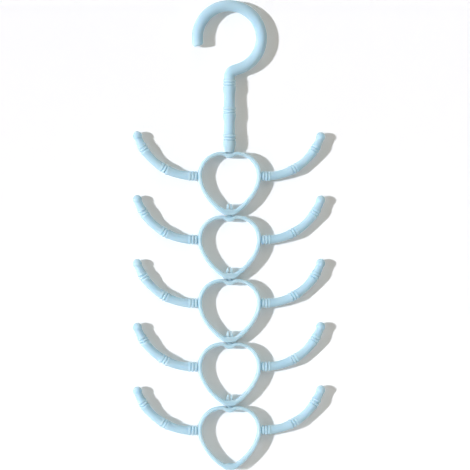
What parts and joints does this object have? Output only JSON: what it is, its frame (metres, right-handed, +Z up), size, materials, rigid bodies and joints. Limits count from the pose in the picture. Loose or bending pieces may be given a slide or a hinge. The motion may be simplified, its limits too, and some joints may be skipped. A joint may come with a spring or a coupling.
{
  "type": "tie hanger",
  "caption": "Hanging tie and scarf rack: a round hook on a bamboo-jointed stem carries a chain of heart-shaped tiers, each with two upswept arms, that swivel on snap pins.",
  "frame": {"origin": "inner top of the hook, on the middle of the rod's width, where the rail bears", "axes": "+Z up along the stem, +X along the arms towards the closed side of the hook, -Y towards the viewer of the picture"},
  "size_m": [0.159, 0.0106, 0.3849],
  "materials": {
    "blue_plastic": "satin, injection moulded"
  },
  "bodies": {
    "hook": {"hook": "blue_plastic"},
    "tier_1": {"tier_1": "blue_plastic"},
    "tier_2": {"tier_2": "blue_plastic"},
    "tier_3": {"tier_3": "blue_plastic"},
    "tier_4": {"tier_4": "blue_plastic"},
    "tier_5": {"tier_5": "blue_plastic"}
  },
  "joints": [
    {"name": "tier_1_swivel", "type": "hinge", "parent": "hook", "child": "tier_1", "pos_m": [0, 0, -0.11271], "axis": [0, 0, 1], "continuous": true},
    {"name": "tier_2_swivel", "type": "hinge", "parent": "tier_1", "child": "tier_2", "pos_m": [0, 0, -0.16481], "axis": [0, 0, 1], "continuous": true},
    {"name": "tier_3_swivel", "type": "hinge", "parent": "tier_2", "child": "tier_3", "pos_m": [0, 0, -0.21691], "axis": [0, 0, 1], "continuous": true},
    {"name": "tier_4_swivel", "type": "hinge", "parent": "tier_3", "child": "tier_4", "pos_m": [0, 0, -0.26901], "axis": [0, 0, 1], "continuous": true},
    {"name": "tier_5_swivel", "type": "hinge", "parent": "tier_4", "child": "tier_5", "pos_m": [0, 0, -0.32111], "axis": [0, 0, 1], "continuous": true}
  ]
}
